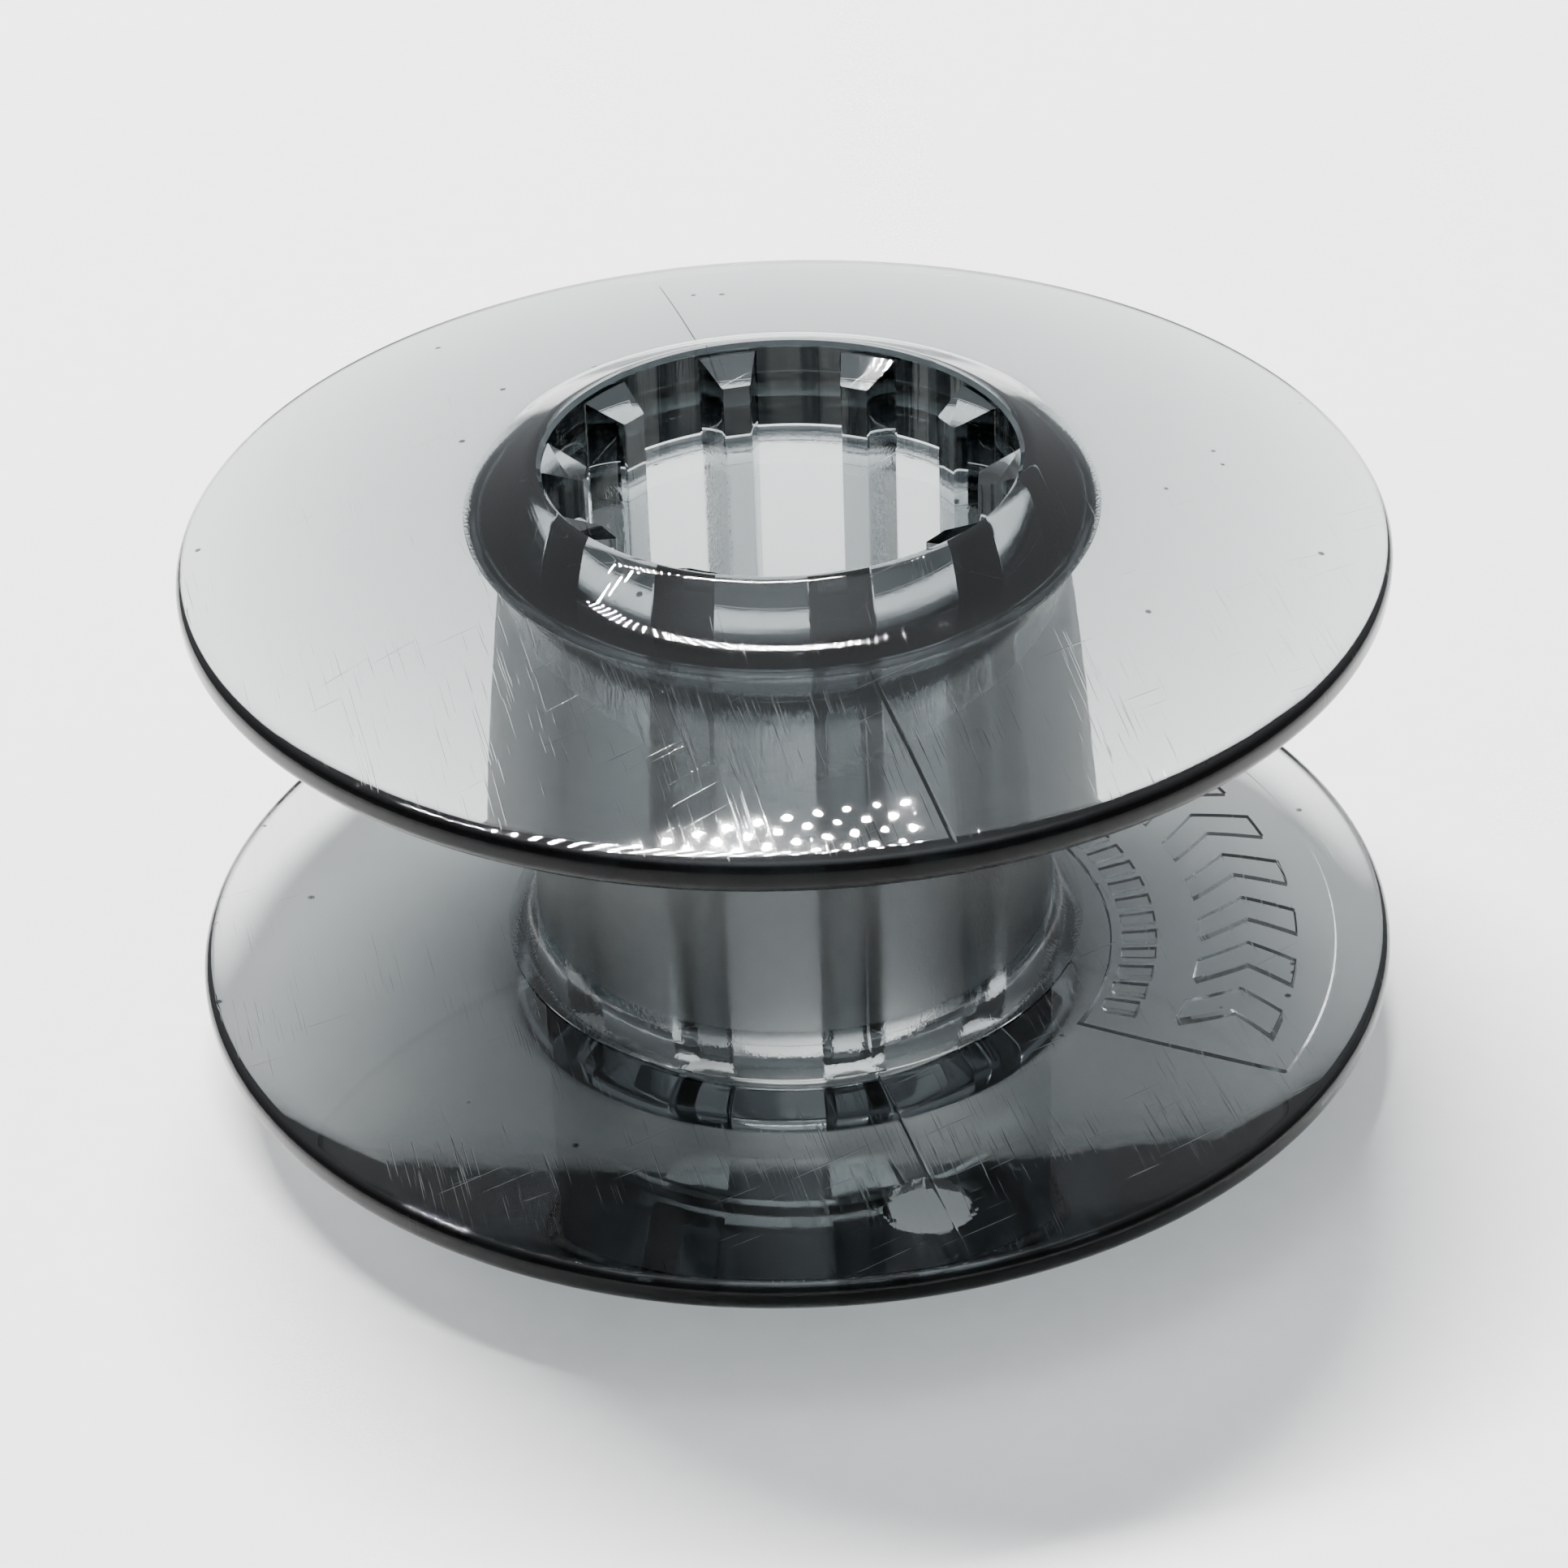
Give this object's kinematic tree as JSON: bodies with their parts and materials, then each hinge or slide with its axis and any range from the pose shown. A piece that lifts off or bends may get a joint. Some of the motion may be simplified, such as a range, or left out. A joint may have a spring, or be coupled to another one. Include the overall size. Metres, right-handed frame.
{
  "type": "sewing machine bobbin",
  "caption": "Empty drop-in sewing machine bobbin in clear smoke-grey plastic: two domed flanges on a barrel whose bore has drive ribs.",
  "frame": {"origin": "on the bobbin's axis, at its lower hub end", "axes": "+Z along the bobbin's axis, from the larger flange with the marking panel up to the other; angles are counted from +X"},
  "size_m": [0.021, 0.021, 0.0112],
  "materials": {
    "smoke_plastic": "polished clear smoke-grey plastic"
  },
  "bodies": {
    "root": {"upper_flange": "smoke_plastic", "hub_barrel": "smoke_plastic", "lower_flange": "smoke_plastic"}
  },
  "joints": []
}
